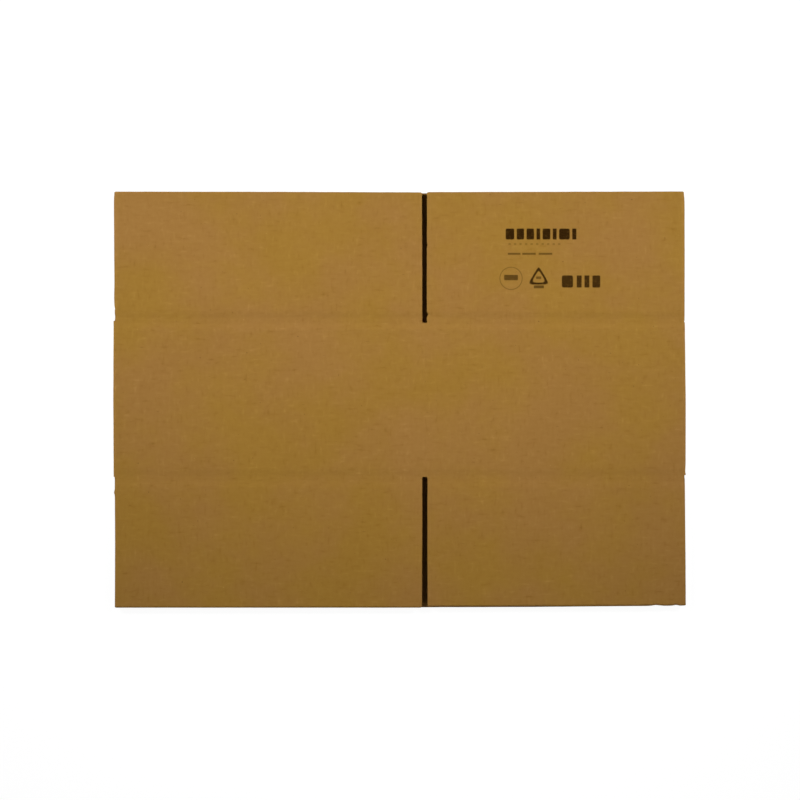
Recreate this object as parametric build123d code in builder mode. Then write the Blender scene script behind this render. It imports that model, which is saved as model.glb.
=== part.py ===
from build123d import *
import os
from math import floor

# Knocked-down slotted carton of single-wall corrugated board, lying flat.
# The blank is one sheet: glue tab, long wall, short wall, long wall, short wall.
# It is folded at two upright creases and glued at the tab, so it lies as a flat sleeve.
# The creased pair of walls faces up, the glued pair lies below, and each wall has a flap
# at either end, parted from the next flap by a slot.
# X runs along the folded width, Y along the flutes, Z up through the board, all in mm.

# Inside sizes of the carton once it is set up
box_length = 300.0
box_width = 250.0
box_height = 150.0

# Corrugated board
board = 3.0  # caliper
liner = 0.35  # facing paper
medium = 0.3  # fluted paper where it lies along a liner
flute_pitch = 6.5  # one whole wave
flute_web = 0.45  # fluted paper where it climbs, measured along X
flute_crest = 1.0  # narrow side of a channel, under a crest
edge_margin = 1.2  # board pinched shut along a slot

# Slots and flap edges
slot_width = 4.5
slot_overrun = 1.5  # how far a slot runs past the crease into the wall
fold_inset = 1.4  # how far a flap's edge lies behind the rolled fold
flap_trim = 1.0  # how much a flap is short of half the short wall

# Creases across the flutes, between walls and flaps
crease_band = 8.0  # board crushed solid beside the crease
valley_run = 5.5  # half width of the shallow valley outside
valley_depth = 0.35
score_run = 1.2  # half width of the scored groove inside
score_depth = 1.0

# Creases along the flutes, between walls
upright_run = 3.0  # half width of the valley outside
upright_depth = 0.2
fold_wall = 2.4  # crushed board at a rolled fold
fold_inner_radius = 0.8

# Glue joint
tab_width = 35.0
tab_thickness = 2.0  # crushed by the gluer
tab_taper = 12.0  # how far each end of the tab falls back at its tip
tab_lift = 0.3  # clearance over the glued tab
tab_ramp = 6.0  # length over which the board climbs into the tab
seam_gap = 2.0
seam_roll = 1.5  # radius of the board as it turns into the seam

# Sizes that follow
long_wall = box_length + board
short_wall = box_width + board
wall_height = box_height + board
flap_depth = short_wall / 2 - flap_trim
flat_width = long_wall + short_wall
inner_gap = tab_thickness + tab_lift
flat_thickness = 2 * board + inner_gap
edge_x = flat_width / 2
crease_y = wall_height / 2
upper_joint_x = long_wall - edge_x
lower_joint_x = short_wall - edge_x
upper_inner_z = board + inner_gap


def flute_channels(width):
    """Sketch the channels of one flap's section, in two rows that lie against either liner."""
    base = flute_pitch - 2 * flute_web - flute_crest
    outer_y = (liner, board - liner - medium)
    inner_y = (board - liner, liner + medium)
    waves = floor((width - 2 * edge_margin - base) / flute_pitch)
    with BuildSketch() as channels:
        for count, (base_y, crest_y) in ((waves + 1, outer_y), (waves, inner_y)):
            with GridLocations(flute_pitch, board, count, 1):
                Polygon(
                    (-base / 2, base_y),
                    (base / 2, base_y),
                    (flute_crest / 2, crest_y),
                    (-flute_crest / 2, crest_y),
                    align=None,
                )
    return channels.sketch


def crease_plane(left, right, upper, end):
    """Plane on a crease, centred on a flap: x along it, y out along the flap, z out of the board."""
    normal = 1 if upper else -1
    face_z = flat_thickness if upper else 0.0
    return Plane(
        ((left + right) / 2, end * crease_y, face_z),
        x_dir=(normal * end, 0, 0),
        z_dir=(0, 0, normal),
    )


def flap_board(crease, width):
    """Make one flap: a crushed band beside its crease, then open board out to the cut edge."""
    profile_plane = Plane(crease.origin, x_dir=crease.y_dir, z_dir=crease.x_dir)
    band_end = crease.from_local_coords((0, crease_band, 0))
    section_plane = Plane(band_end, x_dir=crease.x_dir, z_dir=crease.y_dir)
    with BuildPart() as flap:
        # Band, with its half of the valley outside and of the scored groove inside
        with BuildSketch(profile_plane):
            Polygon(
                (0, -valley_depth),
                (0, score_depth - board),
                (score_run, -board),
                (crease_band, -board),
                (crease_band, 0),
                (valley_run, 0),
                align=None,
            )
        extrude(amount=width / 2, both=True)
        # Open board, drawn across its flutes
        with BuildSketch(section_plane):
            Rectangle(width, board, align=(Align.CENTER, Align.MIN))
            add(flute_channels(width), mode=Mode.SUBTRACT)
        extrude(amount=flap_depth - crease_band)
    return flap.part


# Left and right edges of the flaps in each layer
upper_long_edges = (fold_inset - edge_x, upper_joint_x - slot_width / 2)
upper_short_edges = (upper_joint_x + slot_width / 2, edge_x - fold_inset)
lower_short_edges = (fold_inset - edge_x, lower_joint_x - slot_width / 2)
lower_long_edges = (lower_joint_x + slot_width / 2, edge_x - fold_inset)

# The lower layer's flaps lie under the upper ones and stay with the sleeve
lower_flaps = []
for left, right in (lower_short_edges, lower_long_edges):
    for end in (1, -1):
        lower_flaps.append(flap_board(crease_plane(left, right, False, end), right - left))

with BuildPart() as carton:
    # Sleeve of four walls with its two rolled folds, drawn across the flutes
    with BuildSketch(Plane.XZ) as section:
        Rectangle(flat_width, flat_thickness, align=(Align.CENTER, Align.MIN))
        fillet(section.vertices(), board)
        with Locations((0, board)):
            RectangleRounded(
                flat_width - 2 * fold_wall,
                inner_gap,
                fold_inner_radius,
                align=(Align.CENTER, Align.MIN),
                mode=Mode.SUBTRACT,
            )
        # Crease between the upper walls: a valley outside and a scored groove inside
        with Locations((upper_joint_x, flat_thickness)):
            Polygon(
                (-upright_run, 0), (0, -upright_depth), (upright_run, 0),
                align=None, mode=Mode.SUBTRACT,
            )
        with Locations((upper_joint_x, upper_inner_z)):
            Polygon(
                (-score_run, 0), (score_run, 0), (0, score_depth),
                align=None, mode=Mode.SUBTRACT,
            )
        # Seam between the lower walls: a cut edge on its left, a rolled one on its right
        with Locations((lower_joint_x, 0)):
            Rectangle(seam_gap, board, align=(Align.MAX, Align.MIN), mode=Mode.SUBTRACT)
        fillet(section.vertices().sort_by_distance((lower_joint_x, 0))[0], seam_roll)
        with Locations((lower_joint_x, board)):
            Polygon((0, 0), (tab_ramp, 0), (0, tab_thickness), align=None)
    extrude(amount=wall_height / 2, both=True)

    # Glue tab with tapered ends, against the inside of the lower short wall
    tab_half = crease_y - slot_overrun
    with BuildSketch(Plane.XY.offset(board)):
        Polygon(
            (lower_joint_x, -tab_half),
            (lower_joint_x, tab_half),
            (lower_joint_x - tab_width, tab_half - tab_taper),
            (lower_joint_x - tab_width, tab_taper - tab_half),
            align=None,
        )
    extrude(amount=tab_thickness)

    # The walls' half of the creases: valleys outside, scored grooves inside
    with BuildSketch(Plane.YZ):
        for end in (1, -1):
            crease = end * crease_y
            valley_end = crease - end * valley_run
            score_end = crease - end * score_run
            for face_z, sunk_z in (
                (flat_thickness, flat_thickness - valley_depth),
                (0, valley_depth),
            ):
                Polygon((crease, face_z), (crease, sunk_z), (valley_end, face_z), align=None)
            Polygon(
                (crease, upper_inner_z + score_depth),
                (score_end, upper_inner_z),
                (score_end, board),
                (crease, board - score_depth),
                align=None,
            )
    extrude(amount=edge_x, both=True, mode=Mode.SUBTRACT)

    # Slot ends, which run a little past the creases, in each layer and through the folds
    for x, width, low, high in (
        (upper_joint_x, slot_width, upper_inner_z, flat_thickness),
        (lower_joint_x, slot_width, 0, upper_inner_z),
        (-edge_x, 2 * fold_inset, 0, flat_thickness),
        (edge_x, 2 * fold_inset, 0, flat_thickness),
    ):
        with BuildSketch(Plane.XY.offset(low)):
            with Locations((x, crease_y), (x, -crease_y)):
                Rectangle(width, 2 * slot_overrun)
        extrude(amount=high - low, mode=Mode.SUBTRACT)

    add(lower_flaps)

carton.part.label = "carton"

# The upper flaps, each free to fold back at its crease
upper_flaps = {
    "top_long_flap": (upper_long_edges, 1),
    "top_short_flap": (upper_short_edges, 1),
    "bottom_long_flap": (upper_long_edges, -1),
    "bottom_short_flap": (upper_short_edges, -1),
}

os.makedirs("parts", exist_ok=True)
export_step(carton.part, "parts/carton.step")
for name, ((left, right), end) in upper_flaps.items():
    flap = flap_board(crease_plane(left, right, True, end), right - left)
    flap.label = name
    export_step(flap, f"parts/{name}.step")
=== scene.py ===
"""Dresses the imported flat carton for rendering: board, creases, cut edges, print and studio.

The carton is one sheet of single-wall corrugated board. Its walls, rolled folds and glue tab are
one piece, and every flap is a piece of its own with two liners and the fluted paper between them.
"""

from __future__ import annotations

import logging
import math
from dataclasses import dataclass
from enum import Enum
from typing import Callable

import bpy
import numpy as np
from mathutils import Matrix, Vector, noise

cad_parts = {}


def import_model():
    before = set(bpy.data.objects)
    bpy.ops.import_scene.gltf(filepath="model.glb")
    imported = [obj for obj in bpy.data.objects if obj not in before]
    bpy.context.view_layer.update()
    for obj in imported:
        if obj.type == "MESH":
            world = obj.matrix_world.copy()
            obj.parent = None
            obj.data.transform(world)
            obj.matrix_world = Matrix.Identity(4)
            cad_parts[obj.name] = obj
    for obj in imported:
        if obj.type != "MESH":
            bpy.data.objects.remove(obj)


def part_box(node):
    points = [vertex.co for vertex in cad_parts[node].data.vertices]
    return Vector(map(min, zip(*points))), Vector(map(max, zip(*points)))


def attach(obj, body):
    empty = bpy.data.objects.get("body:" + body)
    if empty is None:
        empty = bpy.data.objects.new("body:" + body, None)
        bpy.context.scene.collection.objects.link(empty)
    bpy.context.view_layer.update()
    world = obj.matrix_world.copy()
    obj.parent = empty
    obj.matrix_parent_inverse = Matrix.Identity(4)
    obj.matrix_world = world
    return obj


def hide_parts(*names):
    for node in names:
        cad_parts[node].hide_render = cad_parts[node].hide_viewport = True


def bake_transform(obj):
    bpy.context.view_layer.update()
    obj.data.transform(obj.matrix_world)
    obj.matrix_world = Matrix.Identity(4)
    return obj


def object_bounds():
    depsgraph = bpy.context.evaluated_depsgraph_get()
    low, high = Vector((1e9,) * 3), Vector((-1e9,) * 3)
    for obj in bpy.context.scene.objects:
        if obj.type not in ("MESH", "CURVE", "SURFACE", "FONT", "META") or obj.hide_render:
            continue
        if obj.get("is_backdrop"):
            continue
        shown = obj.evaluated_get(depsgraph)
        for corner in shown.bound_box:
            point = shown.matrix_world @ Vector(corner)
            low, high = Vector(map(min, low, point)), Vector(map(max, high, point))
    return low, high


LOG = logging.getLogger("carton")
MM = 0.001
FLUTE_PITCH = 6.5 * MM
Point = tuple[float, float, float]
Span = tuple[float, float]
Array = np.ndarray
Shape = Callable[[Array], Array]
Piece = bpy.types.Object
Papers = list[bpy.types.Material]
Socket = bpy.types.NodeSocket


class Paper(Enum):
    """The papers of the board, by their place among a piece's materials."""

    FACE = 0
    INSIDE = 1
    CUT = 2


class Layer(Enum):
    """Which layer of the flat carton a flap belongs to, and the way that its face looks."""

    UPPER = 1
    LOWER = -1


# Node building


class Wiring:
    """Adds nodes to the tree of a material or a world and links them in short calls."""

    def __init__(self, owner: bpy.types.Material | bpy.types.World) -> None:
        """Take over a tree.

        Args:
            owner: the material or world to wire.
        """
        owner.use_nodes = True
        self.tree = owner.node_tree
        self.tree.nodes.clear()

    def add(self, kind: str, *sources: object, **settings: object) -> bpy.types.Node:
        """Add a node.

        Args:
            kind: its type name.
            *sources: what its inputs get in order, as sockets or values.
            **settings: attributes to set on it.

        Returns:
            The new node.
        """
        node = self.tree.nodes.new(kind)
        for name, value in settings.items():
            setattr(node, name, value)
        for target, source in zip(node.inputs, sources):
            self.feed(target, source)
        return node

    def feed(self, target: Socket, source: object) -> None:
        """Link a socket into another, or set the other to a value.

        Args:
            target: the input socket.
            source: an output socket, or a plain value.
        """
        if isinstance(source, Socket):
            self.tree.links.new(source, target)
        else:
            target.default_value = source

    def finish(self, shader: bpy.types.Node, kind: str = "ShaderNodeOutputMaterial") -> None:
        """Link the finished shader to an output node of the given kind."""
        self.add(kind, shader.outputs[0])

    def math(self, operation: str, *sources: object, clamp: bool = False) -> Socket:
        """Work out a Math node's operation, whose result may be kept from 0 to 1."""
        return self.add("ShaderNodeMath", *sources, operation=operation, use_clamp=clamp).outputs[0]

    def times(self, first: object, second: object) -> Socket:
        """Multiply two values."""
        return self.math("MULTIPLY", first, second)

    def minus(self, first: object, second: object) -> Socket:
        """Subtract the second value from the first."""
        return self.math("SUBTRACT", first, second)

    def mix(self, factor: object, first: object, second: object, blend: str = "MIX") -> Socket:
        """Mix two colours.

        Args:
            factor: share of the second colour.
            first: a colour or a colour socket.
            second: a colour or a colour socket.
            blend: Blender's name of the blend type.

        Returns:
            The mixed colour's socket.
        """
        node = self.add("ShaderNodeMix", data_type="RGBA", blend_type=blend)
        for index, source in ((0, factor), (6, first), (7, second)):
            self.feed(node.inputs[index], source)
        return node.outputs[2]

    def ramp(self, source: object, low: float, high: float) -> Socket:
        """Spread a value's range from low to high over 0 to 1, with soft ends."""
        node = self.add("ShaderNodeMapRange", source, low, high, interpolation_type="SMOOTHSTEP")
        return node.outputs[0]

    def seen(self) -> Socket:
        """Tell rays that show the background from rays that carry light.

        Returns:
            A socket that is 1 for camera, glossy and transmission rays.
        """
        path = self.add("ShaderNodeLightPath")
        mirrored = self.math("MAXIMUM", path.outputs["Is Camera Ray"], path.outputs["Is Glossy Ray"])
        return self.math("MAXIMUM", mirrored, path.outputs["Is Transmission Ray"])


# Printed marks


@dataclass(frozen=True)
class Mark:
    """A plain printed mark, in millimetres, with its middle given from the print's centre."""

    x: float
    y: float
    strength: float

    def mask(self, wires: Wiring, px: Socket, py: Socket, edge: float) -> Socket:
        """Give the mark's strength on it and 0 off it, at px and py from the print's centre."""
        outside = self.outside(wires, wires.minus(px, self.x * MM), wires.minus(py, self.y * MM))
        return wires.times(wires.ramp(outside, edge, -edge), self.strength)

    def outside(self, wires: Wiring, dx: Socket, dy: Socket) -> Socket:
        """Measure how far a place at dx and dy from the mark's middle lies outside it, in metres."""
        raise NotImplementedError


@dataclass(frozen=True)
class Bar(Mark):
    """A bar with rounded corners."""

    width: float
    height: float
    corner: float = 0.28

    def outside(self, wires: Wiring, dx: Socket, dy: Socket) -> Socket:
        """Measure how far a place lies outside the bar.

        Args:
            wires: the tree to build in.
            dx: the place along X from the bar's middle.
            dy: the same along Y.

        Returns:
            The distance's socket.
        """
        rounding = min(self.width, self.height) * MM * self.corner
        past_side = wires.minus(wires.math("ABSOLUTE", dx), self.width * MM / 2)
        past_end = wires.minus(wires.math("ABSOLUTE", dy), self.height * MM / 2)
        return wires.math("SMOOTH_MAX", past_side, past_end, rounding)


@dataclass(frozen=True)
class Ring(Mark):
    """A ring drawn as a line."""

    radius: float
    stroke: float

    def outside(self, wires: Wiring, dx: Socket, dy: Socket) -> Socket:
        """Measure how far a place lies off the line."""
        off_line = wires.math("ABSOLUTE", wires.minus(self.reach(wires, dx, dy), self.radius * MM))
        return wires.minus(off_line, self.stroke * MM / 2)

    def reach(self, wires: Wiring, dx: Socket, dy: Socket) -> Socket:
        """Measure the distance that is the radius all along the line."""
        return wires.math("SQRT", wires.math("ADD", wires.times(dx, dx), wires.times(dy, dy)))


@dataclass(frozen=True)
class Triangle(Ring):
    """A triangle with its point up and its corners rounded, drawn as a line."""

    point: float = 0.22
    corner: float = 1.3

    def reach(self, wires: Wiring, dx: Socket, dy: Socket) -> Socket:
        """Measure the distance that is the inner radius all along the line.

        Args:
            wires: the tree to build in.
            dx: the place along X from the triangle's middle.
            dy: the same along Y.

        Returns:
            The distance's socket.
        """
        rounding = (self.radius * MM * self.point) ** 2
        off_axis = wires.math("SQRT", wires.math("MULTIPLY_ADD", dx, dx, rounding))
        slope_x, slope_y = math.cos(math.radians(30)), math.sin(math.radians(30))
        side = wires.math("ADD", wires.times(off_axis, slope_x), wires.times(dy, slope_y))
        foot = wires.times(dy, -1.0)
        return wires.math("SMOOTH_MAX", side, foot, self.radius * MM * self.corner)


@dataclass(frozen=True)
class Print:
    """The plain marks on one flap: blocks, dashes, a ring and a triangle that stand for no name."""

    centre: Span = (142.0 * MM, 137.0 * MM)
    edge: float = 0.45 * MM
    ink: tuple[float, ...] = (0.026, 0.0105, 0.0018, 1.0)

    def marks(self) -> list[Mark]:
        """List the marks.

        Returns:
            The marks, row by row from the top.
        """
        marks: list[Mark] = []
        # Bold row of blocks of uneven width
        left, gap = -39.0, 2.4
        for width in (8.3, 7.1, 7.3, 3.5, 7.5, 3.7, 10.3, 4.1):
            marks.append(Bar(left + width / 2, 23.6, 0.98, width, 10.6))
            left += width + gap
        # Faint row of small dashes and a thin broken line under it
        marks += [Bar(-35.2 + 5.35 * step, 13.9, 0.34, 2.2, 1.7) for step in range(10)]
        lines = ((-30.8, 12.2), (-16.4, 13.0), (-0.4, 13.2))
        marks += [Bar(middle, 4.4, 0.62, width, 1.9) for middle, width in lines]
        # Ring with a bar in it, triangle with a bar in and under it, and four bold blocks
        marks += [Ring(-33.8, -19.4, 0.5, 10.8, 0.75), Bar(-33.8, -18.6, 0.74, 13.4, 5.2)]
        marks += [Triangle(-7.0, -19.2, 0.94, 5.25, 1.9), Bar(-7.0, -18.8, 0.6, 5.0, 2.6)]
        marks.append(Bar(-6.8, -27.6, 0.72, 9.8, 2.9))
        blocks = ((20.9, 10.8), (32.3, 4.8), (39.8, 4.8), (48.9, 7.6))
        marks += [Bar(middle, -22.4, 0.92, width, 11.8) for middle, width in blocks]
        return marks

    def mask(self, wires: Wiring, x: object, y: object) -> Socket:
        """Build the mask of all marks.

        Args:
            wires: the tree to build in.
            x: socket of the X coordinate.
            y: socket of the Y coordinate.

        Returns:
            A socket with the ink's cover, from 0 to 1.
        """
        px, py = wires.minus(x, self.centre[0]), wires.minus(y, self.centre[1])
        cover: object = 0.0
        for mark in self.marks():
            cover = wires.math("MAXIMUM", cover, mark.mask(wires, px, py, self.edge))
        return cover


# Finishes


@dataclass(frozen=True)
class PaperFinish:
    """How strongly a brown paper shows each of its traits; the rib's height is in millimetres."""

    name: str
    colour: Point
    cloud: float
    fleck: float
    fibre: float
    hue: float
    speck: float
    rib: float
    roughness: float
    gloss: float
    printed: Print | None = None


class PaperTree(Wiring):
    """The tree of a brown paper: cloudy, fibrous and specked, over the ribs of the fluting."""

    def __init__(self, paper: PaperFinish) -> None:
        """Make the material and wire it.

        Args:
            paper: how it looks.
        """
        self.paper = paper
        self.material = bpy.data.materials.new(paper.name)
        super().__init__(self.material)
        self.place = self.add("ShaderNodeTexCoord").outputs["Object"]
        x, y, _ = self.add("ShaderNodeSeparateXYZ", self.place).outputs
        fibres = self.fibres()
        base = self.specks(self.mix(1.0, self.tint(), self.shade(self.tone()), "MULTIPLY"))
        rough = self.math("MULTIPLY_ADD", fibres, 0.1, paper.roughness - 0.05)
        gloss: object = paper.gloss
        if paper.printed is not None:
            cover = paper.printed.mask(self, x, y)
            base = self.inked(base, fibres, cover)
            rough = self.math("MULTIPLY_ADD", cover, 0.3, rough, clamp=True)
            gloss = self.math("MULTIPLY_ADD", cover, -paper.gloss, paper.gloss)
        shader = self.add("ShaderNodeBsdfPrincipled")
        self.feed(shader.inputs["Base Color"], base)
        self.feed(shader.inputs["Roughness"], rough)
        self.feed(shader.inputs["Specular IOR Level"], gloss)
        self.feed(shader.inputs["Normal"], self.relief(x, fibres))
        self.finish(shader)

    def grain(self, scale: Point, detail: float = 2.0, rough: float = 0.5) -> Socket:
        """Add noise on the object's own coordinates, which may be stretched.

        Args:
            scale: features to the metre along each axis.
            detail: octaves.
            rough: weight of the finer octaves.

        Returns:
            The noise's value socket.
        """
        mapping = self.add("ShaderNodeMapping", self.place, vector_type="POINT")
        mapping.inputs["Scale"].default_value = scale
        cloud = self.add("ShaderNodeTexNoise", mapping.outputs[0])
        for name, value in (("Scale", 1.0), ("Detail", detail), ("Roughness", rough)):
            cloud.inputs[name].default_value = value
        return cloud.outputs[0]

    def tint(self) -> Socket:
        """Let the paper's colour drift between olive and orange.

        Returns:
            The drifting colour's socket.
        """
        turns = (0.03 * self.paper.hue, -0.08 * self.paper.hue, 0.9 * self.paper.hue)
        olive = (*(part * (1 - turn) for part, turn in zip(self.paper.colour, turns)), 1.0)
        orange = (*(part * (1 + turn) for part, turn in zip(self.paper.colour, turns)), 1.0)
        wide = self.times(self.grain((10, 10, 10), 1), 0.75)
        drift = self.math("MULTIPLY_ADD", self.grain((45, 55, 50), 2), 0.25, wide)
        return self.mix(self.ramp(drift, 0.34, 0.66), olive, orange)

    def tone(self) -> Socket:
        """Add up the paper's light and dark, around 1.

        Returns:
            A socket with the factor on the paper's colour.
        """
        cloud, fleck = self.paper.cloud, self.paper.fleck
        soft = (
            (self.grain((14, 14, 14), 2), cloud),
            (self.grain((95, 120, 120), 2), cloud * 1.1),
            (self.grain((230, 260, 260), 1), fleck * 0.4),
            (self.fibres(), self.paper.fibre),
        )
        # Short marks along and across, which stand out from a quiet ground
        marks = (
            (self.grain((115, 400, 400), 0), fleck * 15),
            (self.grain((400, 125, 400), 0), fleck * 13),
            (self.grain((290, 320, 320), 1), fleck * 13),
        )
        total: object = 1.0
        for layer, amount in soft:
            total = self.math("ADD", total, self.math("MULTIPLY_ADD", layer, amount, -amount / 2))
        for layer, amount in marks:
            centred = self.minus(layer, 0.5)
            cubed = self.times(centred, self.times(centred, centred))
            total = self.math("MULTIPLY_ADD", cubed, amount, total)
        return total

    def fibres(self) -> Socket:
        """Add fine fibres, most of which lie along X, as the paper ran through its machine.

        Returns:
            A socket from 0 to 1.
        """
        along = self.times(self.grain((520, 3000, 3000), 3, 0.6), 0.65)
        across = self.times(self.grain((2600, 700, 2600), 2, 0.5), 0.35)
        return self.math("ADD", along, across)

    def shade(self, value: Socket) -> Socket:
        """Turn light and dark into a factor for each colour, with pale spots less brown than dark ones."""
        parts = (self.math("MULTIPLY_ADD", value, part, 1.0 - part) for part in (0.85, 1.05, 1.9))
        return self.add("ShaderNodeCombineColor", *parts).outputs[0]

    def specks(self, base: Socket) -> Socket:
        """Scatter dark and pale specks, some drawn out along X.

        Args:
            base: the paper's colour socket.

        Returns:
            The speckled colour's socket.
        """
        for scale, threshold, colour in (
            ((330, 430, 400), 0.790, (0.30, 0.26, 0.22, 1.0)),
            ((130, 520, 400), 0.770, (0.72, 0.68, 0.62, 1.0)),
            ((360, 430, 500), 0.790, (1.45, 1.55, 2.20, 1.0)),
        ):
            spot = self.ramp(self.grain(scale, 1.0), threshold, threshold + 0.03)
            speckled = self.mix(1.0, base, colour, "MULTIPLY")
            base = self.mix(self.times(spot, self.paper.speck), base, speckled)
        return base

    def inked(self, base: Socket, fibres: Socket, cover: Socket) -> Socket:
        """Lay the ink over the paper, a little broken by the fibres.

        Args:
            base: the paper's colour socket.
            fibres: the fibres' socket.
            cover: the marks' cover.

        Returns:
            The printed colour's socket.
        """
        patchy = self.ramp(self.grain((420, 420, 420), 3), 0.30, 0.52)
        broken = self.times(cover, self.math("MULTIPLY_ADD", patchy, 0.08, 0.92))
        streaks = self.math("MULTIPLY_ADD", fibres, 0.24, 0.88)
        full = self.math("MULTIPLY", broken, streaks, clamp=True)
        return self.mix(full, base, self.paper.printed.ink)

    def relief(self, x: Socket, fibres: Socket) -> Socket:
        """Raise the paper by its fibres and by the crests of the fluting under it.

        Args:
            x: socket of the X coordinate.
            fibres: the fibres' socket.

        Returns:
            The bumped normal's socket.
        """
        wave = self.math("SINE", self.times(x, 2 * math.pi / FLUTE_PITCH))
        uneven = self.math("MULTIPLY_ADD", self.grain((25, 18, 25), 2), 1.4, 0.3)
        ribs = self.times(self.times(wave, uneven), self.paper.rib * MM)
        dents = self.times(self.grain((60, 60, 60), 3), 0.05 * MM)
        height = self.math("ADD", self.math("ADD", ribs, dents), self.times(fibres, 0.035 * MM))
        bump = self.add("ShaderNodeBump")
        for name, value in (("Strength", 1.0), ("Distance", 1.0), ("Height", height)):
            self.feed(bump.inputs[name], value)
        return bump.outputs[0]


# Modelling helpers


def mode(name: str) -> None:
    """Switch the active piece to EDIT or OBJECT mode."""
    bpy.ops.object.mode_set(mode=name)


def take(*pieces: Piece) -> None:
    """Select these pieces and no others.

    Args:
        *pieces: the pieces, of which the first becomes active.
    """
    bpy.ops.object.select_all(action="DESELECT")
    for piece in pieces:
        piece.select_set(True)
    bpy.context.view_layer.objects.active = pieces[0]


def shaped(piece: Piece, shape: Shape) -> None:
    """Move a mesh's vertices.

    Args:
        piece: the mesh object.
        shape: takes the vertices' coordinates and returns where they go.
    """
    flat = np.zeros(len(piece.data.vertices) * 3, np.float64)
    piece.data.vertices.foreach_get("co", flat)
    piece.data.vertices.foreach_set("co", shape(flat.reshape(-1, 3)).ravel())
    piece.data.update()


def sheet(
    name: str, x: Span, y: Span, z: float, grid: tuple[int, int], papers: Papers, paper: Paper
) -> Piece:
    """Lay out a flat sheet as a grid.

    Args:
        name: the piece's name.
        x: its left and right edges.
        y: its near and far edges.
        z: its height.
        grid: faces across and along.
        papers: materials in the order of Paper.
        paper: which of them the sheet is made of.

    Returns:
        The sheet, facing up, with its object at the origin.
    """
    middle = ((x[0] + x[1]) / 2, (y[0] + y[1]) / 2, z)
    columns, rows = grid
    bpy.ops.mesh.primitive_grid_add(x_subdivisions=columns, y_subdivisions=rows, size=1, location=middle)
    return sized(name, (x[1] - x[0], y[1] - y[0], 1), papers, paper)


def sized(name: str, size: Point, papers: Papers, paper: Paper) -> Piece:
    """Size the primitive that was just added, bring its object to the origin and give it its papers.

    Args:
        name: the piece's name.
        size: its lengths along the axes.
        papers: materials in the order of Paper.
        paper: which of them all its faces get.

    Returns:
        The piece.
    """
    piece = bpy.context.object
    piece.name = piece.data.name = name
    piece.scale = size
    bpy.ops.object.transform_apply(location=True, rotation=True, scale=True)
    for material in papers:
        piece.data.materials.append(material)
    for polygon in piece.data.polygons:
        polygon.material_index = paper.value
    return piece


def scored(piece: Piece, axis: Point, places: list[float]) -> None:
    """Cut extra lines across a sheet, where it is going to bend.

    Args:
        piece: the sheet.
        axis: the direction that the places are measured along.
        places: distances from the origin along it.
    """
    mode("EDIT")
    for place in places:
        bpy.ops.mesh.select_all(action="SELECT")
        bpy.ops.mesh.bisect(plane_co=Vector(axis) * place, plane_no=axis)
    mode("OBJECT")


def pick(piece: Piece, test: Callable[[Vector], bool], faces: bool = False) -> None:
    """Select the vertices that pass a test and the edges between them, or the faces that do.

    Args:
        piece: the mesh, in edit mode.
        test: takes a vertex's or a face's place and says whether it is picked.
        faces: whether faces are picked.
    """
    bpy.ops.mesh.select_mode(type="FACE" if faces else "VERT")
    bpy.ops.mesh.select_all(action="DESELECT")
    mode("OBJECT")
    if faces:
        for polygon in piece.data.polygons:
            polygon.select = test(polygon.center)
    else:
        for vertex in piece.data.vertices:
            vertex.select = test(vertex.co)
    mode("EDIT")
    if not faces:
        bpy.ops.mesh.select_mode(type="EDGE")


def thicken(piece: Piece, thickness: float, offset: float, face: Paper, back: Paper) -> None:
    """Give a sheet its thickness, with cut paper round its rim.

    Args:
        piece: the sheet.
        thickness: how thick it gets.
        offset: -1 keeps the face where it is, 0 thickens to both sides.
        face: the paper that it is made of.
        back: the paper of its new side.
    """
    modifier = piece.modifiers.new("Thickness", "SOLIDIFY")
    modifier.thickness = thickness
    modifier.offset = offset
    modifier.material_offset = back.value - face.value
    modifier.material_offset_rim = Paper.CUT.value - face.value
    take(piece)
    bpy.ops.object.modifier_apply(modifier=modifier.name)


def joined(name: str, *parts: Piece) -> Piece:
    """Join parts, which share one list of materials, into the first of them.

    Args:
        name: the joined piece's name.
        *parts: the parts.

    Returns:
        The joined piece.
    """
    take(*parts)
    bpy.ops.object.join()
    parts[0].name = parts[0].data.name = name
    return parts[0]


def smoothed(piece: Piece, angle: float = 32.0) -> None:
    """Smooth what bends by less than an angle, in degrees."""
    take(piece)
    bpy.ops.object.shade_smooth_by_angle(angle=math.radians(angle))


def wander(places: Array, scale: float, seed: float) -> Array:
    """Draw a smooth random line from about -1 to 1, with its bends to the metre as its scale."""
    return np.array([noise.noise((float(p) * scale, seed, 0.37)) for p in places])


def near(distance: Array, reach: float) -> Array:
    """Fade smoothly from 1 at no distance to 0 at the reach."""
    share = np.clip(1 - distance / reach, 0, 1)
    return share * share * (3 - 2 * share)


# The board


@dataclass(frozen=True)
class Layout:
    """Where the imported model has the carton's faces, creases and flaps, in metres."""

    low: float
    high: float
    half_width: float
    caliper: float
    crease_y: float
    depth: float
    long_x: Span
    short_x: Span

    @classmethod
    def read(cls) -> Layout:
        """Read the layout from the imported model.

        Returns:
            The layout.
        """
        low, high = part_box("carton")
        long_low, long_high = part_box("top_long_flap")
        short_low, short_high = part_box("top_short_flap")
        caliper, depth = long_high.z - long_low.z, long_high.y - long_low.y
        spans = (long_low.x, long_high.x), (short_low.x, short_high.x)
        return cls(low.z, high.z, high.x, caliper, long_low.y, depth, *spans)

    @property
    def joint_x(self) -> float:
        """X of the crease between the upper walls, which the seam below mirrors."""
        return (self.long_x[1] + self.short_x[0]) / 2

    @property
    def slot_width(self) -> float:
        """Distance between two flaps of a layer."""
        return self.short_x[0] - self.long_x[1]

    @property
    def fold_inset(self) -> float:
        """How far a flap's edge lies behind the rolled fold."""
        return self.half_width - self.short_x[1]


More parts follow.
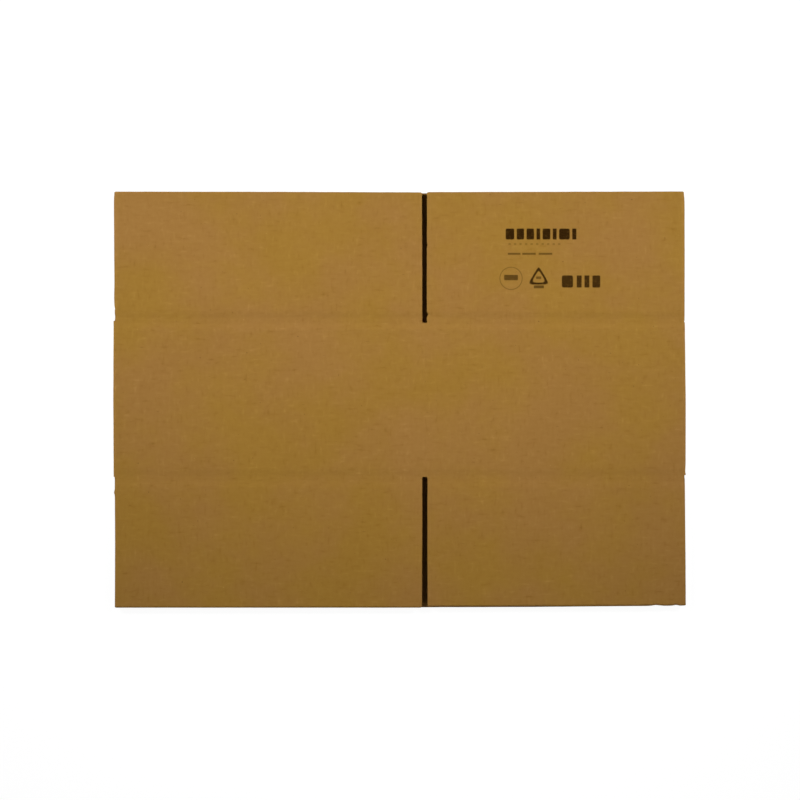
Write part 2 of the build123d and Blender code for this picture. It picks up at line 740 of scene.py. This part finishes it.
@dataclass(frozen=True)
class BoardStock:
    """Single-wall board, in metres: its papers, its creases and its cut edges."""

    caliper: float
    liner: float = 0.34 * MM
    fluting: float = 0.22 * MM
    wave_steps: int = 10
    valley_depth: float = 0.66 * MM
    lower_valley: float = 0.68
    valley_floor: float = 1.8 * MM
    valley_run: float = 9.8 * MM
    score_depth: float = 0.9 * MM
    score_run: float = 2.2 * MM
    pinch_depth: float = 0.5 * MM
    pinch_run: float = 2.4 * MM
    crush_run: float = 1.6 * MM
    inner_crush: float = 0.4
    corner_depth: float = 0.45 * MM
    corner_run: float = 1.4 * MM

    def valley(self, distance: Array, end: Array | int, x: Array) -> Array:
        """Depth of the uneven valley over a crease.

        Args:
            distance: distances from the crease.
            end: above 0 at the carton's upper end, below 0 at its lower end.
            x: places along the crease.

        Returns:
            Depths below the face.
        """
        upper = np.asarray(end) > 0
        depth = np.where(upper, 1.0, self.lower_valley) * self.valley_depth
        depth = depth * near(distance - self.valley_floor, self.valley_run - self.valley_floor)
        return depth * (1 + 0.25 * np.where(upper, wander(x, 24, 5.0), wander(x, 24, -5.0)))

    def score(self, distance: Array) -> Array:
        """Depth from the inside of the scored groove at distances from a crease."""
        return self.score_depth * near(distance, self.score_run)


@dataclass(frozen=True)
class Edge:
    """A cut edge's line, in millimetres: how far it lies past the true edge, and its nicks.

    The first three lengths are at its start, its middle and its end. A bite has its place along
    the edge, its half width and its depth, which is below 0 on a nib.
    """

    first: float = 0.0
    middle: float = 0.0
    last: float = 0.0
    rough: float = 0.2
    bites: tuple[Point, ...] = ()

    def past(self, share: Array, place: Array, seed: float) -> Array:
        """Work out how far the edge lies outwards.

        Args:
            share: how far along the edge each point is, from 0 to 1.
            place: the same in metres.
            seed: which rough line it follows.

        Returns:
            Distances outwards, in metres.
        """
        ends = (self.first * MM, self.middle * MM, self.last * MM)
        line = np.interp(share, (0.0, 0.5, 1.0), ends)
        line -= self.rough * MM * (0.5 + 0.3 * wander(place, 70, seed) + 0.2 * wander(place, 380, seed + 5))
        for middle, reach, depth in self.bites:
            line -= depth * MM * np.exp(-(((place - middle * MM) / (reach * MM)) ** 2))
        return line

    def bite_lines(self) -> list[float]:
        """List the places at which the bites need lines across the sheet, in metres."""
        return [middle * MM + step * reach * MM for middle, reach, _ in self.bites for step in (-1, 0, 1)]


@dataclass
class Flap:
    """One flap: outer liner, inner liner and fluted paper, from its crease to its cut edge."""

    name: str
    papers: Papers
    board: BoardStock
    layout: Layout
    x: Span
    end: int
    layer: Layer
    left: Edge
    right: Edge
    tip: Edge
    seed: float
    crush: float = 0.12 * MM
    bend: float = 5.0 * MM
    bend_steps: int = 7
    edge_lines: tuple[float, ...] = (0.4 * MM, 0.9 * MM, 1.6 * MM)
    side_run: float = 6.0 * MM
    tip_run: float = 12.0 * MM
    warp: float = 0.20 * MM

    @property
    def width(self) -> float:
        """Distance between the side edges."""
        return self.x[1] - self.x[0]

    @property
    def face_z(self) -> float:
        """Height of the flap's face."""
        return self.layout.high if self.layer is Layer.UPPER else self.layout.low

    def build(self) -> Piece:
        """Model the flap.

        Returns:
            The finished piece.
        """
        liner = self.board.liner
        face = self.liner_sheet("face", 0.0, 2.0 * MM, Paper.FACE)
        thicken(face, liner, -1, Paper.FACE, Paper.CUT)
        inside = self.liner_sheet("inside", liner - self.board.caliper, 4.0 * MM, Paper.CUT)
        thicken(inside, liner, -1, Paper.CUT, Paper.INSIDE)
        piece = joined(self.name, face, inside, self.fluted_sheet())
        shaped(piece, self.place)
        if self.end * self.layer.value < 0:
            # Mirrored once, so its faces look inwards
            mode("EDIT")
            bpy.ops.mesh.select_all(action="SELECT")
            bpy.ops.mesh.flip_normals()
            mode("OBJECT")
        smoothed(piece)
        return piece

    def bend_places(self) -> list[float]:
        """List the distances from the crease at which the board gets a line to bend at."""
        return [self.bend * step / self.bend_steps for step in range(1, self.bend_steps + 1)]

    def liner_sheet(self, part: str, height: float, spacing: float, paper: Paper) -> Piece:
        """Model one liner flat, with x from the left edge, y from the crease and z from the face.

        Args:
            part: what the liner is called.
            height: its height under the face.
            spacing: rough size of its faces.
            paper: the paper on its upper side.

        Returns:
            The liner, still without thickness.
        """
        width, depth = self.width, self.layout.depth
        grid = (round(width / spacing), round(depth / spacing))
        piece = sheet(f"{self.name}_{part}", (0, width), (0, depth), height, grid, self.papers, paper)
        scored(piece, (1, 0, 0), [*self.edge_lines, *(width - line for line in self.edge_lines)])
        bitten = self.left.bite_lines() + self.right.bite_lines()
        ends = [depth - line for line in self.edge_lines]
        scored(piece, (0, 1, 0), self.bend_places() + ends + bitten)
        return piece

    def fluted_sheet(self) -> Piece:
        """Model the fluted paper as a wave that runs along X, with the crests along Y.

        Returns:
            The fluted paper with its thickness.
        """
        board, margin, depth = self.board, 1.0 * MM, self.layout.depth
        span = (margin, self.width - margin)
        columns = round((self.width - 2 * margin) / FLUTE_PITCH * board.wave_steps)
        name, reach = f"{self.name}_fluting", (0.0, depth - 0.1 * MM)
        piece = sheet(name, span, reach, 0, (columns, 3), self.papers, Paper.CUT)
        scored(piece, (0, 1, 0), self.bend_places()[::2] + [10 * MM, depth - 0.8 * MM])
        swing = (board.caliper - 2 * board.liner - board.fluting) / 2

        def wave(points: Array) -> Array:
            """Wave the sheet between the liners and fray its cut end."""
            turn = 2 * np.pi * (points[:, 0] + self.x[0]) / FLUTE_PITCH
            points[:, 2] = swing * np.cos(turn) - board.caliper / 2
            ragged = wander(points[:, 0], 900, self.seed + 3) * 0.15 * MM
            points[:, 1] += np.where(points[:, 1] > depth - 0.5 * MM, ragged, 0)
            return points

        shaped(piece, wave)
        thicken(piece, board.fluting, 0, Paper.CUT, Paper.CUT)
        return piece

    def place(self, points: Array) -> Array:
        """Shape the flat flap and put it where it belongs.

        Args:
            points: coordinates from the flap's left edge, its crease and its face.

        Returns:
            The points in the row's frame.
        """
        board, width, depth = self.board, self.width, self.layout.depth
        flat_u, flat_v, h = points[:, 0], points[:, 1], points[:, 2].copy()
        x = flat_u + self.x[0]
        across, out = np.clip(flat_u / width, 0, 1), np.clip(flat_v / depth, 0, 1)
        inner = np.clip(-h / board.caliper, 0, 1)
        side = np.minimum(flat_u, width - flat_u)
        # Valley outside and score inside at the crease, pinched sides and a crushed cut edge
        pinch = board.pinch_depth * near(side, board.pinch_run)
        crush = self.crush * near(depth - flat_v, board.crush_run)
        raised = board.score(flat_v) + pinch + board.inner_crush * crush
        sunk = board.valley(flat_v, self.end, x) + pinch + crush
        h += inner * raised - (1 - inner) * sunk
        # Side edges, then the cut edge with its rounded corners
        u = flat_u - self.left.past(out, flat_v, self.seed) * near(flat_u, self.side_run)
        u += self.right.past(out, flat_v, self.seed + 20) * near(width - flat_u, self.side_run)
        past = self.tip.past(across, x, self.seed + 40) - board.corner_depth * near(side, board.corner_run)
        v = flat_v + past * near(depth - flat_v, self.tip_run)
        # A slight warp of the upper flaps that is nothing at the crease
        z = self.face_z + self.layer.value * h
        if self.layer is Layer.UPPER:
            sag = [noise.noise((float(a) * 9, float(b) * 11, self.seed)) for a, b in zip(u, v)]
            z -= self.warp * (0.7 + np.array(sag)) * out
        return np.stack([self.x[0] + u, self.end * (self.layout.crease_y + v), z], axis=1)


@dataclass
class Walls:
    """The four walls as one flat sleeve, with its rolled folds, its seam and its glue tab."""

    papers: Papers
    board: BoardStock
    layout: Layout
    name: str = "carton_walls"
    fold_radius: float = 3.2 * MM
    fold_fade: float = 3.0 * MM
    turn_steps: int = 7
    run_steps: int = 40
    crease_lines: tuple[float, ...] = (0.7, 1.5, 2.2, 3.2, 4.5, 6.0, 7.5, 8.7, 10.0)
    joint_lines: tuple[float, ...] = (-3, -1.5, 0, 1.5, 3)
    joint_depth: float = 0.06 * MM
    joint_run: float = 3.0 * MM
    level_reach: float = 1.1 * MM
    overrun: float = 1.5 * MM
    corner_overrun: float = 3.2 * MM
    slot_shift: float = 0.5 * MM
    slot_steps: int = 8
    slot_rag: float = 0.35 * MM
    seam_gap: float = 2.0 * MM
    seam_roll: float = 1.4 * MM
    seam_steps: int = 4
    tab_width: float = 35.0 * MM
    tab_thickness: float = 2.0 * MM
    tab_taper: float = 12.0 * MM
    tab_ramp: float = 6.0 * MM
    folds: tuple[Edge, Edge] = (
        Edge(-0.25, 0.1, -0.3, 0.25),
        Edge(-0.85, 0.1, -0.1, 0.25, ((-69.5, 4.0, 0.3), (-72.0, 1.1, -0.40))),
    )

    @property
    def seam_x(self) -> float:
        """X of the seam's right edge."""
        return -self.layout.joint_x

    @property
    def reach(self) -> float:
        """X at which the walls turn into the folds."""
        return self.layout.half_width - self.fold_radius

    def build(self) -> Piece:
        """Model the walls.

        Returns:
            The finished piece.
        """
        sleeve = self.rolled_sheet()
        self.cut_slots(sleeve)
        shaped(sleeve, self.creased)
        thicken(sleeve, self.board.caliper, -1, Paper.FACE, Paper.INSIDE)
        shaped(sleeve, self.scored_inside)
        piece = joined(self.name, sleeve, self.glue_tab())
        smoothed(piece)
        return piece

    def rolled_sheet(self) -> Piece:
        """Lay the upper walls out flat, then roll both folds and run the lower walls to the seam.

        Returns:
            The open sheet, facing outwards all round.
        """
        crease, high = self.layout.crease_y, self.layout.high
        span = (-self.reach, self.reach)
        piece = sheet("sleeve", span, (-crease, crease), high, (220, 50), self.papers, Paper.FACE)
        edges = [crease - line * MM for line in self.crease_lines]
        scored(piece, (0, 1, 0), edges + [-edge for edge in edges])
        scored(piece, (1, 0, 0), [self.layout.joint_x + line * MM for line in self.joint_lines])
        mode("EDIT")
        self.roll(piece, 1, self.seam_x + self.seam_roll)
        self.roll(piece, -1, self.seam_x - self.seam_gap)
        bpy.ops.mesh.select_all(action="SELECT")
        bpy.ops.mesh.remove_doubles(threshold=0.01 * MM)
        bpy.ops.mesh.normals_make_consistent(inside=False)
        mode("OBJECT")
        return piece

    def roll(self, piece: Piece, side: int, stop: float) -> None:
        """Roll one fold from the upper sheet's edge, then run the lower wall to its stop.

        Args:
            piece: the sheet, in edit mode.
            side: 1 for the right fold, -1 for the left one.
            stop: X of the lower wall's end.
        """

        def turn(x: float, z: float, steps: int) -> None:
            """Turn the picked edge by a quarter round a centre."""
            bpy.ops.mesh.spin(steps=steps, angle=-side * math.pi / 2, center=(x, 0, z), axis=(0, 1, 0))

        def run(x: float, z: float) -> None:
            """Run the picked edge on by a distance along X and Z."""
            bpy.ops.mesh.extrude_region_move(TRANSFORM_OT_translate={"value": (x, 0, z)})

        start, high, radius = side * self.reach, self.layout.high, self.fold_radius
        pick(piece, lambda co: side * co.x > self.reach - 0.01 * MM)
        turn(start, high - radius, self.turn_steps)
        run(0, 2 * radius - high)
        turn(start, radius, self.turn_steps)
        for _ in range(self.run_steps):
            run((stop - start) / self.run_steps, 0)
        if side > 0:
            turn(stop, self.seam_roll, self.seam_steps)

    def creased(self, points: Array) -> Array:
        """Press the valleys into both layers and make the folds a little uneven.

        Args:
            points: the sheet's vertices.

        Returns:
            Where they go.
        """
        x, y, z = points[:, 0].copy(), points[:, 1].copy(), points[:, 2].copy()
        crease, upper = self.layout.crease_y, z > self.layout.high / 2
        out = np.clip((np.abs(x) - self.reach) / self.fold_radius, 0, 1)
        joint = self.joint_depth * near(np.abs(x - self.layout.joint_x), self.joint_run)
        sink = self.board.valley(crease - np.abs(y), y, x) + joint * upper
        z += sink * np.where(upper, -1, 1) * np.sqrt(1 - out * out)
        side = np.where(x > 0, 1.0, -1.0)
        share = (crease - y) / (2 * crease)
        left, right = (edge.past(share, y, 60.0 + index) for index, edge in enumerate(self.folds))
        x += side * out * out * np.where(x > 0, right, left)
        return np.stack([x, y, z], axis=1)

    def scored_inside(self, points: Array) -> Array:
        """Level the inside of the board again and press the scored grooves into it.

        Args:
            points: the thick sleeve's vertices.

        Returns:
            Where they go.
        """
        x, y, z = points[:, 0], points[:, 1], points[:, 2]
        caliper, from_crease = self.board.caliper, self.layout.crease_y - np.abs(y)
        upper = np.abs(z - (self.layout.high - caliper)) < self.level_reach
        lower = np.abs(z - caliper) < self.level_reach
        pressed = self.board.valley(from_crease, y, x) + self.board.score(from_crease)
        depth = pressed * near(np.abs(x) - self.reach + self.fold_fade, self.fold_fade)
        points[:, 2] = z + depth * upper - depth * lower
        return points

    def cut_slots(self, sleeve: Piece) -> None:
        """Cut the ends of the slots, which run a little past the creases, and clear the folds' ends.

        Args:
            sleeve: the open sheet, still flat apart from its rolls.
        """
        layout, half_slot = self.layout, self.layout.slot_width / 2
        middle, top = layout.high / 2, layout.high + MM
        inset = layout.half_width - layout.fold_inset
        slot_end, corner_end = layout.crease_y - self.overrun, layout.crease_y - self.corner_overrun
        start = layout.joint_x - half_slot - self.slot_shift
        stop = layout.joint_x + half_slot - self.slot_shift
        cuts = (
            ((start, stop), (middle, top)),
            ((self.seam_x - half_slot, self.seam_x + half_slot), (-MM, middle)),
            ((inset, 2 * inset), (-MM, top)),
            ((-2 * inset, -inset), (-MM, top)),
        )
        step = layout.slot_width / self.slot_steps
        lines = [x for span, _ in cuts for x in span]
        scored(sleeve, (1, 0, 0), lines + [start + count * step for count in range(1, self.slot_steps)])

        def inside(place: Vector) -> bool:
            """Say whether a face lies in a cut. The folds' four ends are cut unevenly."""
            x, y, z = place
            corner = abs(x) > inset * 0.9
            if corner and x < 0 < y:
                return False
            if abs(y) < (corner_end if corner and y < 0 < x else slot_end):
                return False
            return any(left < x < right and low < z < high for (left, right), (low, high) in cuts)

        def torn(points: Array) -> Array:
            """Tear the feet of the upper slots a little."""
            x, y, z = points[:, 0], points[:, 1], points[:, 2]
            at_foot = (np.abs(np.abs(y) - slot_end) < 0.02 * MM) & (z > middle)
            at_foot &= (x > start + 0.1 * MM) & (x < stop - 0.1 * MM)
            ragged = self.slot_rag * wander(x, 600, 3.3)
            points[:, 1] = y - at_foot * np.where(y > 0, 0.5 * MM + ragged, 0.4 * ragged)
            return points

        mode("EDIT")
        pick(sleeve, inside, faces=True)
        bpy.ops.mesh.delete(type="FACE")
        mode("OBJECT")
        shaped(sleeve, torn)

    def glue_tab(self) -> Piece:
        """Model the glue tab, tapered at both ends, with the ramp that joins it to the long wall.

        Returns:
            The tab as a closed mesh.
        """
        low, high = self.board.caliper, self.board.caliper + self.tab_thickness
        half = self.layout.crease_y - self.overrun
        middle = (self.seam_x - self.tab_width / 2, 0, (low + high) / 2)
        bpy.ops.mesh.primitive_cube_add(size=1, location=middle)
        tab = sized("glue_tab", (self.tab_width, 2 * half, high - low), self.papers, Paper.INSIDE)
        mode("EDIT")
        pick(tab, lambda co: co.x > self.seam_x - 0.1 * MM)
        bpy.ops.mesh.select_mode(type="FACE")
        bpy.ops.mesh.extrude_region_move(TRANSFORM_OT_translate={"value": (self.tab_ramp, 0, 0)})
        mode("OBJECT")

        def taper(points: Array) -> Array:
            """Draw in the tab's tip and run its ramp out thin."""
            tip = points[:, 0] < self.seam_x - self.tab_width + MM
            points[:, 1] *= np.where(tip, (half - self.tab_taper) / half, 1.0)
            thin = (points[:, 0] > self.seam_x + MM) & (points[:, 2] > low + MM)
            points[:, 2] = np.where(thin, low + 0.05 * MM, points[:, 2])
            return points

        shaped(tab, taper)
        return tab


# Studio


@dataclass(frozen=True)
class Lamp:
    """A soft round lamp and its twin on the other side of the carton."""

    name: str
    place: Point
    aim: Point
    size: float
    power: float
    spread: float

    def hang(self) -> None:
        """Hang the pair, each looking at its own half of the carton."""
        for word, side in (("left", -1), ("right", 1)):
            data = bpy.data.lights.new(f"{self.name}_{word}", "AREA")
            data.shape = "DISK"
            data.size = self.size
            data.spread = math.radians(self.spread)
            data.energy = self.power
            lamp = bpy.data.objects.new(f"{self.name}_{word}", data)
            lamp.location = (side * self.place[0], self.place[1], self.place[2])
            aim = Vector((side * self.aim[0], self.aim[1], self.aim[2])) - lamp.location
            lamp.rotation_euler = aim.to_track_quat("-Z", "Y").to_euler()
            bpy.context.scene.collection.objects.link(lamp)


@dataclass(frozen=True)
class Studio:
    """Camera straight above, soft lamps behind and in front of the carton, and a pale floor."""

    pixels: int = 800
    scale: float = 1.0310
    centre_px: Span = (399.5, 399.6)
    distance: float = 3.0
    sensor: float = 36.0
    lamps: tuple[Lamp, ...] = (
        Lamp("key_lamp", (1.169, 0.685, 0.914), (0.118, 0.135, 0.0), 0.45, 1.941, 53.2),
        Lamp("fill_lamp", (1.5, -1.35, 0.75), (0.0, 0.0, 0.0), 1.0, 5.4, 180.0),
    )
    ambient: float = 0.05
    floor_size: float = 30.0
    floor_z: float = -0.05 * MM
    floor_white: float = 0.8
    floor_glow: float = 1.10
    floor_share: float = 0.86

    def build(self, top: float) -> None:
        """Set up camera, lamps, floor and world.

        Args:
            top: height of the carton's upper face.
        """
        self.camera(top)
        for lamp in self.lamps:
            lamp.hang()
        self.floor()
        self.world()
        bpy.context.scene.view_settings.view_transform = "Standard"

    def camera(self, top: float) -> None:
        """Place the camera so that the carton fills the frame as in the photograph.

        Args:
            top: height of the carton's upper face.
        """
        frame_width = self.pixels / self.scale * MM
        data = bpy.data.cameras.new("camera")
        data.sensor_width = self.sensor
        data.lens = self.sensor * self.distance / frame_width
        data.clip_start, data.clip_end = 0.01, 50
        camera = bpy.data.objects.new("camera", data)
        x = (self.pixels / 2 - self.centre_px[0]) / self.scale * MM
        y = (self.centre_px[1] - self.pixels / 2) / self.scale * MM
        camera.location = (x, y, top + self.distance)
        bpy.context.scene.collection.objects.link(camera)
        bpy.context.scene.camera = camera

    def floor(self) -> None:
        """Lay a pale floor that is white to the camera and keeps the carton's shadow."""
        bpy.ops.mesh.primitive_plane_add(size=self.floor_size, location=(0, 0, self.floor_z))
        floor = bpy.context.object
        floor.name = "floor"
        material = bpy.data.materials.new("pale_floor")
        wires = Wiring(material)
        white = wires.add("ShaderNodeBsdfDiffuse", (self.floor_white,) * 3 + (1.0,))
        glow = wires.add("ShaderNodeEmission")
        glow.inputs["Strength"].default_value = self.floor_glow
        share = wires.times(wires.seen(), self.floor_share)
        wires.finish(wires.add("ShaderNodeMixShader", share, white.outputs[0], glow.outputs[0]))
        floor.data.materials.append(material)
        floor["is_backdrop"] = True

    def world(self) -> None:
        """Fill the room with a low even light that the camera sees as white."""
        world = bpy.data.worlds.new("studio")
        bpy.context.scene.world = world
        wires = Wiring(world)
        strength = wires.math("MULTIPLY_ADD", wires.seen(), 1.0 - self.ambient, self.ambient)
        background = wires.add("ShaderNodeBackground", (1.0, 1.0, 1.0, 1.0), strength)
        wires.finish(background, "ShaderNodeOutputWorld")


# The carton

SLOT_LEFT = Edge(-0.6, -0.65, -1.0)
SLOT_RIGHT = Edge(0.2, 0.2, 0.05)
LOWER_SIDE = Edge(-0.3, -0.3, -0.3)
LEFT_BITES = ((3.8, 2.4, 0.3), (11.8, 1.5, 0.5), (23.0, 10.0, -0.45), (125.0, 5.0, 0.45))
TIP_BITES = ((249.4, 4.2, 0.8), (268.4, 2.6, 0.8))
UNDER_BITES = ((249.4, 4.2, 0.9), (268.4, 2.6, 0.8))

# Node, whether it is a long flap, its end, then its left, right and outer edge
UPPER_FLAPS = (
    (
        "top_long_flap", True, 1,
        Edge(-0.3, 0.3, 0.65, bites=LEFT_BITES), SLOT_LEFT, Edge(-0.05, -0.25, -0.8, 0.3),
    ),
    (
        "top_short_flap", False, 1,
        Edge(0.8, 0.8, 0.6, bites=((6.2, 1.3, 1.5), (73.4, 1.6, 0.6))),
        Edge(0.1, 0.2, 0.1, bites=((125.0, 6.0, 0.7),)), Edge(-0.55, -0.2, 0.1, 0.3),
    ),
    (
        "bottom_long_flap", True, -1,
        Edge(-0.2, -0.6, -0.3, bites=((13.6, 2.0, -0.75),)), SLOT_LEFT, Edge(rough=0.15),
    ),
    (
        "bottom_short_flap", False, -1,
        SLOT_RIGHT, Edge(0.3, 0.9, 1.3), Edge(-1.0, -1.35, -2.0, 0.4, TIP_BITES),
    ),
)

# Name, whether it is a long flap, its end, then its outer edge
LOWER_FLAPS = (
    ("under_top_short_flap", False, 1, Edge(-1.3, -1.5, -1.9)),
    ("under_top_long_flap", True, 1, Edge(-1.3, -1.6, -1.5)),
    ("under_bottom_short_flap", False, -1, Edge(-0.4, -0.5, -0.6, 0.3)),
    ("under_bottom_long_flap", True, -1, Edge(0.0, -0.4, -1.7, 0.2, UNDER_BITES)),
)


@dataclass
class Carton:
    """The whole carton: its papers, its walls and its eight flaps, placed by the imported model."""

    printed_node: str = "top_short_flap"
    lower_end_crush: float = 0.90 * MM

    def papers(self, printed: Print | None = None) -> Papers:
        """Make the papers of a piece.

        Args:
            printed: the marks on its face, if it has any.

        Returns:
            The materials in the order of Paper.
        """
        face = PaperFinish(
            "printed_kraft_liner" if printed else "kraft_liner",
            colour=(0.311, 0.1600, 0.0300), cloud=0.10, fleck=0.17, fibre=0.08, hue=0.22,
            speck=0.6, rib=0.010, roughness=0.60, gloss=0.12, printed=printed,
        )
        inside = PaperFinish(
            "inner_kraft_liner",
            colour=(0.245, 0.127, 0.029), cloud=0.06, fleck=0.24, fibre=0.12, hue=0.16,
            speck=0.8, rib=0.014, roughness=0.75, gloss=0.08,
        )
        cut = PaperFinish(
            "fluting_paper",
            colour=(0.262, 0.148, 0.046), cloud=0.06, fleck=0.10, fibre=0.30, hue=0.16,
            speck=0.9, rib=0.0, roughness=0.85, gloss=0.06,
        )
        return [PaperTree(paper).material for paper in (face, inside, cut)]

    def build(self) -> None:
        """Model every piece, bind the walls and the lower flaps to the carton's body and name each upper
        flap after its node.
        """
        layout = Layout.read()
        board = BoardStock(layout.caliper)
        plain, printed = self.papers(), self.papers(Print())
        walls = Walls(plain, board, layout).build()
        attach(walls, "carton")
        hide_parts("carton")
        self.report(walls)
        for index, (node, is_long, end, *edges) in enumerate(UPPER_FLAPS):
            x, seed = layout.long_x if is_long else layout.short_x, 11.3 * index + 1
            has_print = node == self.printed_node
            papers = printed if has_print else plain
            flap = Flap(f"{node}_board", papers, board, layout, x, end, Layer.UPPER, *edges, seed)
            if end < 0:
                flap.crush = self.lower_end_crush
            piece = flap.build()
            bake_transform(piece)
            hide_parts(node)
            self.report(piece)
        for index, (name, is_long, end, tip) in enumerate(LOWER_FLAPS):
            left, right = layout.long_x if is_long else layout.short_x
            edges, seed = (LOWER_SIDE, LOWER_SIDE, tip), 7.9 * index + 80
            x = (-right, -left)
            flap = Flap(f"{name}_board", plain, board, layout, x, end, Layer.LOWER, *edges, seed)
            piece = flap.build()
            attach(piece, "carton")
            self.report(piece)

    def report(self, piece: Piece) -> None:
        """Log a finished piece."""
        triangles = sum(len(polygon.vertices) - 2 for polygon in piece.data.polygons)
        LOG.info("%s: %d triangles", piece.name, triangles)


def main() -> None:
    """Load the frame, dress the carton, measure the imported model and set up the studio over its top."""
    logging.basicConfig(level=logging.INFO, format="%(message)s")
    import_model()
    bpy.ops.object.select_all(action="DESELECT")
    cad_box = [list(corner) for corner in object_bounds()]
    Carton().build()
    Studio().build(top=cad_box[1][2])


if __name__ == "__main__":
    main()
